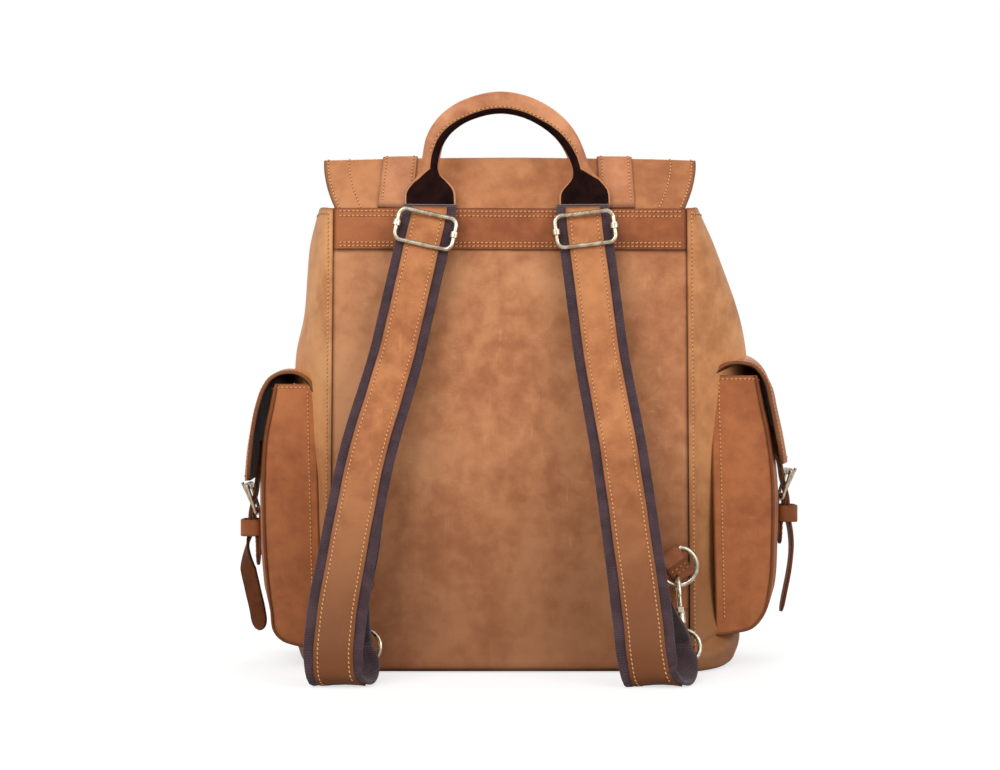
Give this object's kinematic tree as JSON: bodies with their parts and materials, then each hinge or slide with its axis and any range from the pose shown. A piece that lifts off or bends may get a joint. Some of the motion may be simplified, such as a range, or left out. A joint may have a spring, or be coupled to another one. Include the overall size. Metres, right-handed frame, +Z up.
{
  "type": "backpack",
  "caption": "Leather backpack with a flap lid, rolled handle, side pockets, buckled straps and unclipping shoulder straps.",
  "frame": {"origin": "centre of the base on the surface that the bag stands on", "axes": "+Z up; -Y out of the back panel, towards the wearer; +X to the right when looking at the back panel"},
  "size_m": [0.4686, 0.2626, 0.4626],
  "materials": {
    "body_leather": "pull-up oiled leather, satin",
    "yoke_leather": "pull-up oiled leather, darker, satin",
    "light_leather": "smooth tan leather, satin",
    "strap_leather": "smooth tan leather, satin",
    "dark_suede": "dark brown backing leather, matte",
    "webbing": "dark woven cotton webbing",
    "lining": "woven cotton",
    "nickel": "antique nickel plate",
    "snap_steel": "plated"
  },
  "bodies": {
    "root": {"back_panel": "body_leather", "front_panel": "body_leather", "side_gusset_left": "body_leather", "side_gusset_right": "body_leather", "base_panel": "body_leather", "lining": "lining", "back_yoke": "yoke_leather", "lid_root": "body_leather", "side_pocket_left": "body_leather", "side_pocket_right": "body_leather", "front_pocket": "body_leather", "anchor_patches": "strap_leather", "snap_sockets": "snap_steel", "flap_roots": "body_leather"},
    "lid": {"lid": "body_leather", "lid_straps": "light_leather", "lid_chapes": "strap_leather", "lid_buckles": "nickel", "lid_keepers": "strap_leather", "lid_snap_caps": "snap_steel"},
    "handle": {"handle_leather": "light_leather", "handle_lining": "dark_suede"},
    "lid_roller_left": {"lid_roller_left": "nickel"},
    "lid_prong_left": {"lid_prong_left": "nickel"},
    "lid_roller_right": {"lid_roller_right": "nickel"},
    "lid_prong_right": {"lid_prong_right": "nickel"},
    "shoulder_strap_left": {"strap_webbing_left": "webbing", "strap_facing_left": "light_leather", "strap_return_left": "webbing"},
    "slider_left": {"slider_frame_left": "nickel"},
    "slider_bar_left": {"slider_bar_left": "nickel"},
    "swivel_eye_left": {"swivel_eye_left": "nickel"},
    "snap_hook_left": {"snap_hook_left": "nickel"},
    "hook_gate_left": {"hook_gate_left": "nickel"},
    "corner_ring_left": {"corner_ring_left": "nickel"},
    "pocket_flap_left": {"pocket_flap_left": "body_leather", "pocket_billet_left": "strap_leather", "pocket_chape_left": "strap_leather", "pocket_buckle_left": "nickel", "pocket_keeper_left": "strap_leather", "pocket_snap_cap_left": "snap_steel"},
    "pocket_roller_left": {"pocket_roller_left": "nickel"},
    "pocket_prong_left": {"pocket_prong_left": "nickel"},
    "shoulder_strap_right": {"strap_webbing_right": "webbing", "strap_facing_right": "light_leather", "strap_return_right": "webbing"},
    "slider_right": {"slider_frame_right": "nickel"},
    "slider_bar_right": {"slider_bar_right": "nickel"},
    "swivel_eye_right": {"swivel_eye_right": "nickel"},
    "snap_hook_right": {"snap_hook_right": "nickel"},
    "hook_gate_right": {"hook_gate_right": "nickel"},
    "corner_ring_right": {"corner_ring_right": "nickel"},
    "pocket_flap_right": {"pocket_flap_right": "body_leather", "pocket_billet_right": "strap_leather", "pocket_chape_right": "strap_leather", "pocket_buckle_right": "nickel", "pocket_keeper_right": "strap_leather", "pocket_snap_cap_right": "snap_steel"},
    "pocket_roller_right": {"pocket_roller_right": "nickel"},
    "pocket_prong_right": {"pocket_prong_right": "nickel"}
  },
  "joints": [
    {"name": "lid_open", "type": "hinge", "parent": "root", "child": "lid", "pos_m": [0, -0.052, 0.412], "axis": [-1, 0, 0], "range_deg": [-105, 0]},
    {"name": "handle_fold", "type": "hinge", "parent": "root", "child": "handle", "pos_m": [0, -0.0815, 0.371], "axis": [-1, 0, 0], "range_deg": [-85, 15]},
    {"name": "lid_roller_left_spin", "type": "hinge", "parent": "lid", "child": "lid_roller_left", "pos_m": [-0.089, 0.1052, 0.172], "axis": [1, 0, 0], "continuous": true},
    {"name": "lid_prong_left_lift", "type": "hinge", "parent": "lid", "child": "lid_prong_left", "pos_m": [-0.089, 0.0982, 0.15], "axis": [1, 0, 0], "range_deg": [-18, 0]},
    {"name": "lid_roller_right_spin", "type": "hinge", "parent": "lid", "child": "lid_roller_right", "pos_m": [0.085, 0.1052, 0.172], "axis": [1, 0, 0], "continuous": true},
    {"name": "lid_prong_right_lift", "type": "hinge", "parent": "lid", "child": "lid_prong_right", "pos_m": [0.085, 0.0982, 0.15], "axis": [1, 0, 0], "range_deg": [-18, 0]},
    {"name": "strap_swing_left", "type": "hinge", "parent": "root", "child": "shoulder_strap_left", "pos_m": [0, -0.084, 0.3695], "axis": [-1, 0, 0], "range_deg": [0, 70]},
    {"name": "slider_slide_left", "type": "slide", "parent": "shoulder_strap_left", "child": "slider_left", "axis": [-0.2191, -0.1115, -0.9693], "range_m": [0, 0.05], "deforming": ["strap_return_left"]},
    {"name": "slider_bar_shift_left", "type": "slide", "parent": "slider_left", "child": "slider_bar_left", "axis": [-0.2191, -0.1115, -0.9693], "range_m": [-0.004, 0.004]},
    {"name": "eye_rock_left", "type": "hinge", "parent": "shoulder_strap_left", "child": "swivel_eye_left", "pos_m": [-0.115, -0.1, 0.024], "axis": [-0.0719, -0.9717, 0.2252], "range_deg": [-3, 3]},
    {"name": "hook_swivel_left", "type": "hinge", "parent": "swivel_eye_left", "child": "snap_hook_left", "pos_m": [-0.115, -0.1, 0.024], "axis": [-0.2954, 0.2363, 0.9257], "range_deg": [-20, 20]},
    {"name": "gate_press_left", "type": "hinge", "parent": "snap_hook_left", "child": "hook_gate_left", "pos_m": [-0.12458, -0.10006, 0.05401], "axis": [-0.9527, 0, -0.304], "range_deg": [0, 25], "stiffness_Nm_per_rad": 0.004, "springref_deg": -11.46},
    {"name": "ring_play_left", "type": "hinge", "parent": "root", "child": "corner_ring_left", "pos_m": [-0.12369, -0.088, 0.09501], "axis": [-0.8192, 0, 0.5736], "range_deg": [-4, 4]},
    {"name": "pocket_flap_open_left", "type": "hinge", "parent": "root", "child": "pocket_flap_left", "pos_m": [-0.1825, 0, 0.243], "axis": [0, 1, 0], "range_deg": [0, 95]},
    {"name": "pocket_roller_left_spin", "type": "hinge", "parent": "pocket_flap_left", "child": "pocket_roller_left", "pos_m": [-0.2192, 0, 0.145], "axis": [0, 1, 0], "continuous": true},
    {"name": "pocket_prong_left_lift", "type": "hinge", "parent": "pocket_flap_left", "child": "pocket_prong_left", "pos_m": [-0.2122, 0, 0.123], "axis": [0, -1, 0], "range_deg": [0, 18]},
    {"name": "strap_swing_right", "type": "hinge", "parent": "root", "child": "shoulder_strap_right", "pos_m": [0, -0.084, 0.3695], "axis": [-1, 0, 0], "range_deg": [0, 70]},
    {"name": "slider_slide_right", "type": "slide", "parent": "shoulder_strap_right", "child": "slider_right", "axis": [0.1216, -0.1135, -0.9861], "range_m": [0, 0.05], "deforming": ["strap_return_right"]},
    {"name": "slider_bar_shift_right", "type": "slide", "parent": "slider_right", "child": "slider_bar_right", "axis": [0.1216, -0.1135, -0.9861], "range_m": [-0.004, 0.004]},
    {"name": "eye_rock_right", "type": "hinge", "parent": "shoulder_strap_right", "child": "swivel_eye_right", "pos_m": [0.136, -0.1, 0.024], "axis": [-0.0157, -0.969, 0.2464], "range_deg": [-3, 3]},
    {"name": "hook_swivel_right", "type": "hinge", "parent": "swivel_eye_right", "child": "snap_hook_right", "pos_m": [0.136, -0.1, 0.024], "axis": [-0.0617, 0.2469, 0.9671], "range_deg": [-20, 20]},
    {"name": "gate_press_right", "type": "hinge", "parent": "snap_hook_right", "child": "hook_gate_right", "pos_m": [0.13399, -0.09971, 0.05544], "axis": [-0.998, 0, -0.0637], "range_deg": [0, 25], "stiffness_Nm_per_rad": 0.004, "springref_deg": -11.46},
    {"name": "ring_play_right", "type": "hinge", "parent": "root", "child": "corner_ring_right", "pos_m": [0.12669, -0.088, 0.09501], "axis": [-0.8192, 0, -0.5736], "range_deg": [-4, 4]},
    {"name": "pocket_flap_open_right", "type": "hinge", "parent": "root", "child": "pocket_flap_right", "pos_m": [0.201, 0, 0.251], "axis": [0, -1, 0], "range_deg": [0, 95]},
    {"name": "pocket_roller_right_spin", "type": "hinge", "parent": "pocket_flap_right", "child": "pocket_roller_right", "pos_m": [0.2352, 0, 0.157], "axis": [0, 1, 0], "continuous": true},
    {"name": "pocket_prong_right_lift", "type": "hinge", "parent": "pocket_flap_right", "child": "pocket_prong_right", "pos_m": [0.2282, 0, 0.135], "axis": [0, 1, 0], "range_deg": [0, 18]}
  ]
}
